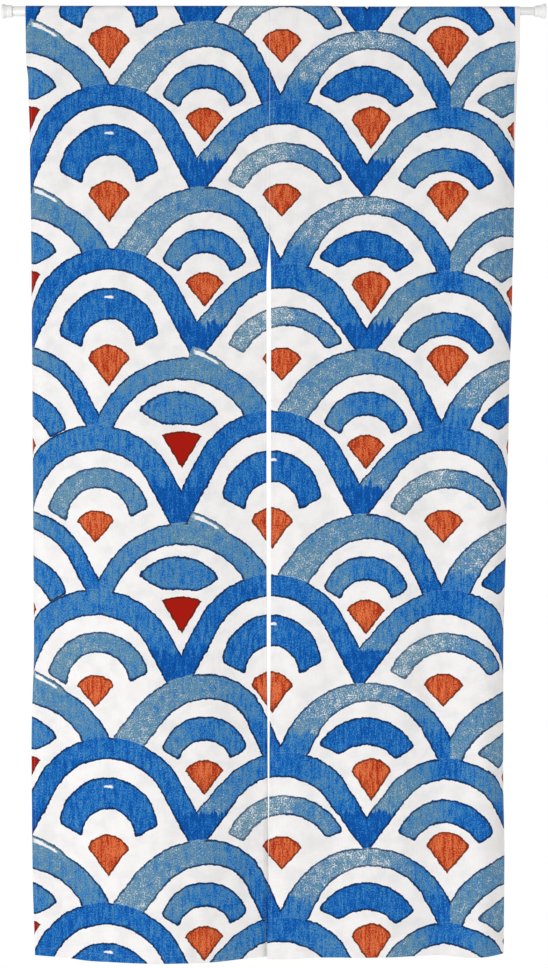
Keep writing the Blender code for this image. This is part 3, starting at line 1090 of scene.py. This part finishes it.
DARK_BLUE = colour(0, 72, 152)
DEEP_BLUE = colour(0, 95, 182)
MID_BLUE = colour(44, 124, 190)
STEEL_BLUE = colour(90, 136, 165)
PALE_TEAL = colour(104, 146, 168)
NAVY_LINE = colour(4, 40, 88)
ORANGE_DEEP = colour(166, 42, 12)
ORANGE = colour(222, 114, 66)
CRIMSON = colour(163, 18, 2)
BROWN_LINE = colour(88, 30, 14)
BARE_CLOTH = colour(242, 240, 239)
BARE_SHADE = colour(232, 231, 231)
BLUE_STOPS = (
    (0.0, DARK_BLUE), (0.2, DEEP_BLUE), (0.42, MID_BLUE), (0.64, STEEL_BLUE), (0.95, PALE_TEAL),
)
RED_STOPS = ((0.15, ORANGE_DEEP), (0.85, ORANGE))

# One scale at a point: offsets from its middle, its kind, how far the point is inside the scale
# and inside its outer ring, the angle from the arch's top, and the height of the dry stroke there
Scale = collections.namedtuple("Scale", "x y kind inside band turn dry")


def row_tables():
    """Three tables with a row for each row of scales: drop and limits, centres, and kinds."""
    names = list(KINDS)
    places, centres, kinds = [], [], []
    for drop, layout in PRINT_ROWS:
        scales = LAYOUTS[layout]
        places.append((drop, *(limit for centre, kind, limit in scales[:-1])))
        centres.append(tuple(centre for centre, kind, limit in scales))
        kinds.append(tuple(names.index(kind) for centre, kind, limit in scales))
    return places, centres, kinds


def pick(values, past):
    """The value whose column a point is in: past says for each limit whether the point is past it."""
    chosen = values[0]
    for before, value, share in zip(values, values[1:], past):
        chosen = chosen + (value - before) * share
    return chosen


def kind_numbers(kind, *columns):
    """Up to four named columns of the table of kinds, for the kind at this point."""
    places = [KIND_COLUMNS.index(column) for column in columns]
    return lookup(kind, [tuple(row[place] for place in places) for row in KINDS.values()])


def flare_of(kind):
    """Sine and cosine of the flare of the kind's arches."""
    (flare,) = kind_numbers(kind, "flare")
    angle = flare * (math.pi / 180)
    return calculate(kind.tree, "SINE", angle), calculate(kind.tree, "COSINE", angle)


def arch(x, y, flare):
    """Distance from an arch's centre: round above, and straight sides below that flare outwards."""
    sine, cosine = flare
    side = abs(x)
    is_low = (side * cosine).above(y * sine)
    return blend(length_of(x, y), side * sine + y * cosine, is_low)


def from_centre(x, y, kind, name):
    """Place from the centre of the kind's leaning arch or band, and its radius."""
    columns = [f"{name}_{part}" for part in ("centre", "radius", "shift", "lean")]
    centre, radius, shift, lean = kind_numbers(kind, *columns)
    return x - shift - lean * y, y - centre, radius


def between_angles(turn, start, end):
    """0 before the first angle, 1 after the second, both in degrees from the top of the arch."""
    return smooth(turn, math.radians(start), math.radians(end))


def nearest(first, second, rounding):
    """The smaller of two distances, with the corner between them rounded."""
    return calculate(first.tree, "SMOOTH_MIN", first, second, rounding)


def dry_height(kind, turn):
    """How far a dry stroke reaches past the top of its arch, lower and lower from its start."""
    (streak,) = kind_numbers(kind, "streak")
    height = DRY_HEIGHT - (turn * (180 / math.pi) - DRY_START) * DRY_TAPER
    return streak * between_angles(turn, *DRY_RISE) * larger(height, 0.0)


def scale_at(row, u, v):
    """The scale of this row at a point."""
    places, centres, kinds = row_tables()
    drop, *limits = lookup(row, places)
    past = [u.above(limit) for limit in limits]
    x = u - pick(lookup(row, centres), past)
    y = drop - v
    kind = whole(pick(lookup(row, kinds), past))
    wobble = (x * WOBBLE_FINENESS, y * WOBBLE_FINENESS, kind * WOBBLE_CHANGE)
    shake = noise(*wobble, WOBBLE_DETAIL, WOBBLE_ROUGHNESS)
    x = x + sway(shake[0], WOBBLE)
    y = y + sway(shake[1], WOBBLE)
    flare = flare_of(kind)
    across, up, radius = from_centre(x, y, kind, "arch")
    turn = calculate(u.tree, "ARCTAN2", across, up)
    dry = dry_height(kind, turn)
    inside = radius - arch(across, up, flare) + dry
    across, up, radius = from_centre(x, y, kind, "band")
    band = nearest(inside, arch(across, up, flare) - radius, BAND_ROUNDING)
    return Scale(x, y, kind, inside, band, turn, dry)


def front_scale(u, v):
    """The scale that shows at a point, and how far inside an outer ring behind it the point is."""
    start = PRINT_ROWS[FIRST_ROW][0] - ROW_REACH
    row = calculate(u.tree, "FLOOR", (v - start) * (1 / ROW_STEP) + FIRST_ROW)
    top, middle, low = [scale_at(row - above, u, v) for above in (0.0, 1.0, 2.0)]
    on_middle = middle.inside.above(0.0)
    on_top = top.inside.above(0.0)
    behind = Scale(*[blend(b, a, on_middle) for a, b in zip(middle, low)])
    front = Scale(*[blend(b, a, on_top) for a, b in zip(top, behind)])
    return front._replace(kind=whole(front.kind)), blend(low.band, behind.band, on_top)


def fan_distance(scale):
    """Distance inside the fan at the scale's foot."""
    tip, top, centre, spread = kind_numbers(
        scale.kind, "fan_tip", "fan_top", "fan_centre", "fan_spread"
    )
    side = ((scale.y + tip) * spread - abs(scale.x)) * FAN_SLANT
    crown = (top - centre) - length_of(scale.x, scale.y - centre)
    return nearest(side, crown, FAN_ROUNDING)


def inner_ring_distance(scale):
    """Distance inside the inner ring, whose ends stay clear of the scales below."""
    x, y, kind = scale[:3]
    centre, radius, hollow, hollow_radius = kind_numbers(
        kind, "ring_centre", "ring_radius", "hollow_centre", "hollow_radius"
    )
    shift, clear = kind_numbers(kind, "ring_shift", "clear_of_next")
    below = arch(abs(x) - COLUMN_HALF, y + (ROW_STEP - NEXT_CENTRE), flare_of(kind))
    x = x - shift
    outward = radius - length_of(x, y - centre)
    ring = nearest(outward, length_of(x, y - hollow) - hollow_radius, RING_ROUNDING)
    ring = nearest(ring, y - RING_FLOOR, FLOOR_ROUNDING)
    return nearest(ring, below - clear, END_ROUNDING)


def outer_tone(kind, turn):
    """Tone round the outer ring, by the angle from its top."""
    far_left, left, top, right = kind_numbers(
        kind, "outer_far_left", "outer_left", "outer_top", "outer_right"
    )
    (far_right,) = kind_numbers(kind, "outer_far_right")
    tone = top
    for angle, near, far in ((0.0 - turn, left, far_left), (turn, right, far_right)):
        tone = tone + (near - top) * between_angles(angle, 0, SHOULDER)
        tone = tone + (far - near) * between_angles(angle, SHOULDER, FOOT)
    return tone


def inner_tone(kind, turn):
    """Tone along the inner ring, by the same angle."""
    left, top, right = kind_numbers(kind, "inner_left", "inner_top", "inner_right")
    tone = top
    for angle, end in ((0.0 - turn, left), (turn, right)):
        tone = tone + (end - top) * between_angles(angle, 0, INNER_END)
    return tone


def paint_noises(u, v):
    """The named noises of the paint. The second number of the last one gives the blots."""
    found = {}
    for name, (along, down, *rest) in PAINT_NOISES.items():
        found[name], second = noise(u * along, v * down, *rest)
    return dict(found, blots=second)


def tone_of(scale, is_outer, noises):
    """Tone of the paint. The valleys between two scales are deep, with a brushy upper border."""
    turn = scale.turn + sway(noises["clouds"], CLOUD_TURN)
    left, right = kind_numbers(scale.kind, "valley_left", "valley_right")
    blots = sway(noises["blots"], VALLEY_BLOTS)
    low = fall(scale.y + blots + sway(noises["streaks"], VALLEY_STREAKS), *VALLEY_TOP)
    valley = smooth(abs(scale.x) + blots, *VALLEY_SIDE) * low
    valley = valley * blend(left, right, scale.x.above(0.0))
    outer = outer_tone(scale.kind, turn) * (1.0 - valley) - valley * VALLEY_DEPTH
    tone = blend(inner_tone(scale.kind, turn), outer, is_outer)
    dry_edge = scale.dry.above(1.0) * fall(scale.inside, DRY_GAP, DRY_GAP + DRY_EDGE)
    return tone + dry_edge * DRY_PALER


def blue_ink(tone, noises, grainy):
    """Blue paint: darker and lighter streaks and blots, and bare flecks where it is pale."""
    tree = tone.tree
    share = tone * TONE_SHARE
    for name, amount in BLUE_SWAYS:
        share = share + sway(noises[name], amount)
    ink = colour_ramp(tree, share + TONE_START, BLUE_STOPS)
    pale = smooth(tone, *PALE_TONES)
    specks = noises["specks"]
    dark = smooth(0.5 - specks, 0.0, DARK_FLECK_EDGE) * blend(DARK_FLECKS, 1.0, pale)
    ink = mix_colours(tree, ink, NAVY_LINE, dark)
    often = blend(*BARE_OFTEN, grainy) + sway(noises["patches"], BARE_PATCHES)
    limit = BARE_LIMIT - pale * often
    shows = pale * blend(*BARE_SHOWS, grainy) + BARE_SHARE
    return mix_colours(tree, ink, BARE_CLOTH, smooth(specks, limit, limit + BARE_FLECK_EDGE) * shows)


def red_ink(noises, red):
    """Orange paint, or crimson by the share red."""
    share = 0.5
    for name, amount in RED_SWAYS:
        share = share + sway(noises[name], amount)
    return mix_colours(share.tree, colour_ramp(share.tree, share, RED_STOPS), CRIMSON, red)


def outline_share(distance, noises):
    """Share of the dark line where paint has dried at its edge."""
    return fall(distance + sway(noises["grain"], OUTLINE_GRAIN), *OUTLINE_EDGE)


def bare_marks(scale, dash):
    """Small places that the brush left bare inside the paint."""
    dashed = fall(abs(scale.y - DASH_HEIGHT), *DASH_HALF_WIDTH) * fall(abs(scale.x), *DASH_HALF_LENGTH)
    in_reach = between_angles(scale.turn, *SLIVER_RISE) * (1.0 - between_angles(scale.turn, *SLIVER_FALL))
    half = scale.dry * SLIVER_SHARE
    sliver = fall(abs(scale.inside - DRY_GAP), half, half + 1.0) * in_reach * scale.dry.above(1.0)
    return larger(dashed * dash, sliver)


def print_colour(u, v):
    """Colour of the print at u and v, in mm along the rod and down the cloth."""
    tree = u.tree
    scale, under_ring = front_scale(u, v)
    noises = paint_noises(u, v)
    grainy, dash, red = kind_numbers(scale.kind, "grain", "dash", "fan_red")
    inner = inner_ring_distance(scale)
    paint = larger(scale.band, inner)
    tone = tone_of(scale, scale.band.above(inner), noises)
    joined = blend(larger(paint, under_ring), paint, scale.inside.above(JOINED_DEPTH))
    line = outline_share(joined, noises) * (OUTLINE_SHARE - smooth(tone, *PALE_OUTLINES) * OUTLINE_FADE)
    ink = mix_colours(tree, blue_ink(tone, noises, grainy), NAVY_LINE, line)
    bare = mix_colours(tree, BARE_CLOTH, BARE_SHADE, smooth(noises["clouds"], *SHADE_CLOUDS))
    ink = mix_colours(tree, ink, bare, bare_marks(scale, dash))
    result = mix_colours(tree, bare, ink, smooth(paint, *PAINT_EDGE))
    fan = fan_distance(scale)
    warm = mix_colours(tree, red_ink(noises, red), BROWN_LINE, outline_share(fan, noises) * FAN_OUTLINE)
    result = mix_colours(tree, result, warm, smooth(fan, *PAINT_EDGE))
    return mix_colours(tree, result, bare, u.above(v * PRINT_SKEW + PRINT_END / MM))


def in_mm(tree, place):
    """The parts of a place in metres, in mm."""
    parts = tree.nodes.new("ShaderNodeSeparateXYZ")
    tree.links.new(place, parts.inputs[0])
    return [Number(tree, socket) * (1 / MM) for socket in parts.outputs]


def print_group():
    """The printed pattern as a node group: place in metres in, colour out."""
    group = bpy.data.node_groups.new("wave scale print", "ShaderNodeTree")
    group.interface.new_socket("Place", in_out="INPUT", socket_type="NodeSocketVector")
    group.interface.new_socket("Colour", in_out="OUTPUT", socket_type="NodeSocketColor")
    source = group.nodes.new("NodeGroupInput")
    result = group.nodes.new("NodeGroupOutput")
    place = in_mm(group, source.outputs[0])[:2]
    group.links.new(print_colour(*place), result.inputs[0])
    return group


# Materials


def new_material(name, **settings):
    """A material with the named inputs of its shader set, underscores standing for spaces."""
    material = bpy.data.materials.new(name)
    material.use_nodes = True
    shader = material.node_tree.nodes["Principled BSDF"]
    for setting, value in settings.items():
        shader.inputs[setting.replace("_", " ")].default_value = value
    return material, material.node_tree, shader


def add_bump(tree, shader, height, distance):
    bump = tree.nodes.new("ShaderNodeBump")
    bump.inputs["Strength"].default_value = 1.0
    bump.inputs["Distance"].default_value = distance
    plug(tree, height, bump.inputs["Height"])
    tree.links.new(bump.outputs["Normal"], shader.inputs["Normal"])


def cloth_print(tree, group):
    """Colour of the print on the cloth, and the place along the rod and down the cloth in mm."""
    uv = tree.nodes.new("ShaderNodeUVMap")
    uv.uv_map = "print"
    printed = tree.nodes.new("ShaderNodeGroup")
    printed.node_tree = group
    tree.links.new(uv.outputs["UV"], printed.inputs[0])
    return printed.outputs[0], in_mm(tree, uv.outputs["UV"])[:2]


def weave(u, v):
    """Height of a plain weave with uneven threads, from 0 to 1, and the threads' unevenness."""
    slub_u, wander_u = noise(u * SLUB_ACROSS, v * SLUB_ALONG)
    slub_v, wander_v = noise(u * SLUB_ALONG, v * SLUB_ACROSS)
    warp = calculate(u.tree, "SINE", u * (math.tau / WEAVE_PITCH) + wander_u * WEAVE_WANDER)
    weft = calculate(u.tree, "SINE", v * (math.tau / WEAVE_PITCH) + wander_v * WEAVE_WANDER)
    slubs = sway(slub_u, SLUB_SHARE) + sway(slub_v, SLUB_SHARE)
    return warp * weft * WEAVE_SHARE + slubs + 0.5, slub_u + slub_v - 1.0


def make_print_material(group, name, show_through):
    """Printed cotton and linen cloth. show_through is the share of bare cloth over the print."""
    material, tree, shader = new_material(
        name, Roughness=0.88, Sheen_Weight=0.04, Sheen_Roughness=0.5, Specular_IOR_Level=0.12
    )
    base, place = cloth_print(tree, group)
    height, uneven = weave(*place)
    if show_through:
        base = mix_colours(tree, base, BARE_CLOTH, show_through)
    shade = colour_ramp(tree, uneven + 0.5, ((0.2, colour(246, 246, 246)), (0.8, colour(255, 255, 255))))
    tree.links.new(mix_colours(tree, base, shade, 1.0, "MULTIPLY"), shader.inputs["Base Color"])
    add_bump(tree, shader, height, WEAVE_DEPTH)
    return material


def object_place(tree):
    """Place in the object's own space, in mm."""
    return in_mm(tree, tree.nodes.new("ShaderNodeTexCoord").outputs["Object"])


def make_thread_material(group):
    """White sewing thread, mostly covered by the print."""
    material, tree, shader = new_material("sewing_thread", Roughness=0.8)
    printed = cloth_print(tree, group)[0]
    x, y, z = object_place(tree)
    twist = calculate(tree, "SINE", (x + y + z) * (math.tau / TWIST_PITCH))
    base = mix_colours(tree, printed, BARE_CLOTH, THREAD_SHOWS)
    tree.links.new(base, shader.inputs["Base Color"])
    add_bump(tree, shader, twist, TWIST_DEPTH)
    return material


def object_noise(tree, fineness, detail=2.0):
    """Two noise numbers at a fineness for each of x, y and z."""
    place = zip(object_place(tree), fineness)
    return noise(*[part * share for part, share in place], detail=detail)


def make_paint_material():
    """White paint on a steel tube: faint orange peel, grime and rubbed marks along the rod."""
    material, tree, shader = new_material("white_paint", Coat_Weight=0.3, Coat_Roughness=0.15)
    peel = object_noise(tree, [PEEL_FINENESS] * 3)[0]
    scuff, mark = object_noise(tree, SCUFF_FINENESS, 3.0)
    rubbed = smooth(scuff, *SCUFF_EDGE) * SCUFF_SHARE
    base = mix_colours(tree, colour(238, 238, 237), colour(205, 205, 204), rubbed)
    tree.links.new(base, shader.inputs["Base Color"])
    rough = blend(blend(*PEEL_ROUGHNESS, peel), SCUFF_ROUGHNESS, rubbed)
    plug(tree, rough, shader.inputs["Roughness"])
    add_bump(tree, shader, peel + mark * SCUFF_RELIEF, PEEL_DEPTH)
    return material


def make_foot_material():
    """Moulded white plastic with a fine satin grain and a little handling dirt."""
    material, tree, shader = new_material(
        "moulded_white_plastic", Subsurface_Weight=0.05, Subsurface_Radius=(0.002, 0.002, 0.002)
    )
    grain = object_noise(tree, [MOULD_FINENESS] * 3)[0]
    dirt = object_noise(tree, [DIRT_FINENESS] * 3, 3.0)[0]
    soiled = smooth(dirt, *DIRT_EDGE) * DIRT_SHARE
    base = mix_colours(tree, colour(240, 240, 239), colour(214, 212, 208), soiled)
    tree.links.new(base, shader.inputs["Base Color"])
    plug(tree, blend(*MOULD_ROUGHNESS, grain), shader.inputs["Roughness"])
    add_bump(tree, shader, grain, MOULD_DEPTH)
    return material


def make_floor_material():
    """Pale matt floor with a very soft mottle."""
    material, tree, shader = new_material("pale_floor", Roughness=0.8)
    mottle = object_noise(tree, (MOTTLE_FINENESS, MOTTLE_FINENESS, 0.0), 3.0)[0]
    base = mix_colours(tree, colour(226, 224, 220), colour(236, 235, 232), mottle)
    tree.links.new(base, shader.inputs["Base Color"])
    return material


# Scene


def make_camera():
    middle = ROD_LENGTH / 2
    data = bpy.data.cameras.new("camera")
    data.sensor_width = SENSOR
    data.lens = SENSOR * CAMERA_DISTANCE / PICTURE_HEIGHT
    camera = bpy.data.objects.new("camera", data)
    camera.location = (middle, -CAMERA_DISTANCE, CAMERA_HEIGHT)
    camera.rotation_euler = (math.radians(90), 0.0, 0.0)
    bpy.context.scene.collection.objects.link(camera)
    bpy.context.scene.camera = camera


def make_light(name, light):
    data = bpy.data.lights.new(name, "AREA")
    data.shape = "DISK"
    data.size = light["size"]
    data.energy = light["power"]
    lamp = bpy.data.objects.new(name, data)
    lamp.location = light["place"]
    aim = Vector((ROD_LENGTH / 2, 0.0, CAMERA_HEIGHT)) - lamp.location
    lamp.rotation_euler = aim.to_track_quat("-Z", "Y").to_euler()
    bpy.context.scene.collection.objects.link(lamp)


def make_world():
    """White all round: full white behind the object, and softer as light on it."""
    scene = bpy.context.scene
    scene.view_settings.view_transform = "Standard"
    world = bpy.data.worlds.new("studio")
    scene.world = world
    world.use_nodes = True
    tree = world.node_tree
    background = tree.nodes["Background"]
    background.inputs["Color"].default_value = (1.0, 1.0, 1.0, 1.0)
    path = tree.nodes.new("ShaderNodeLightPath")
    seen = Number(tree, path.outputs["Is Camera Ray"])
    plug(tree, blend(WORLD_LIGHT, 1.0, seen), background.inputs["Strength"])


def make_floor(material):
    """A round pale floor under the curtain."""
    points = []
    for i in range(FLOOR_SIDES):
        angle = math.tau * i / FLOOR_SIDES
        across = ROD_LENGTH / 2 + FLOOR_RADIUS * math.cos(angle)
        points.append((across, FLOOR_RADIUS * math.sin(angle), FLOOR_LEVEL))
    mesh = bpy.data.meshes.new("floor")
    mesh.from_pydata(points, [], [tuple(range(FLOOR_SIDES))])
    mesh.materials.append(material)
    add_object("floor", mesh)


def make_curtain():
    group = print_group()
    printed = make_print_material(group, "printed_cloth", 0.0)
    reverse = make_print_material(group, "cloth_reverse", REVERSE_BARE)
    thread = make_thread_material(group)
    left, right = [dict(panel) for panel in (LEFT_PANEL, RIGHT_PANEL)]
    for panel in (left, right):
        panel["shares"] = column_shares(panel["width"])
    cloths = [make_cloth(panel, (printed, reverse)) for panel in (left, right)]
    threads = [make_stitching(panel, thread) for panel in (left, right)]
    seam = make_seam(left, right, thread)
    for piece in cloths + threads + [seam]:
        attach(piece, "root")
    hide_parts("panel_left")
    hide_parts("panel_right")


make_camera()
make_world()
make_light("key", KEY_LIGHT)
make_light("fill", FILL_LIGHT)
make_light("back", BACK_LIGHT)
make_floor(make_floor_material())
tubes = make_rod(make_paint_material(), make_foot_material())
make_curtain()
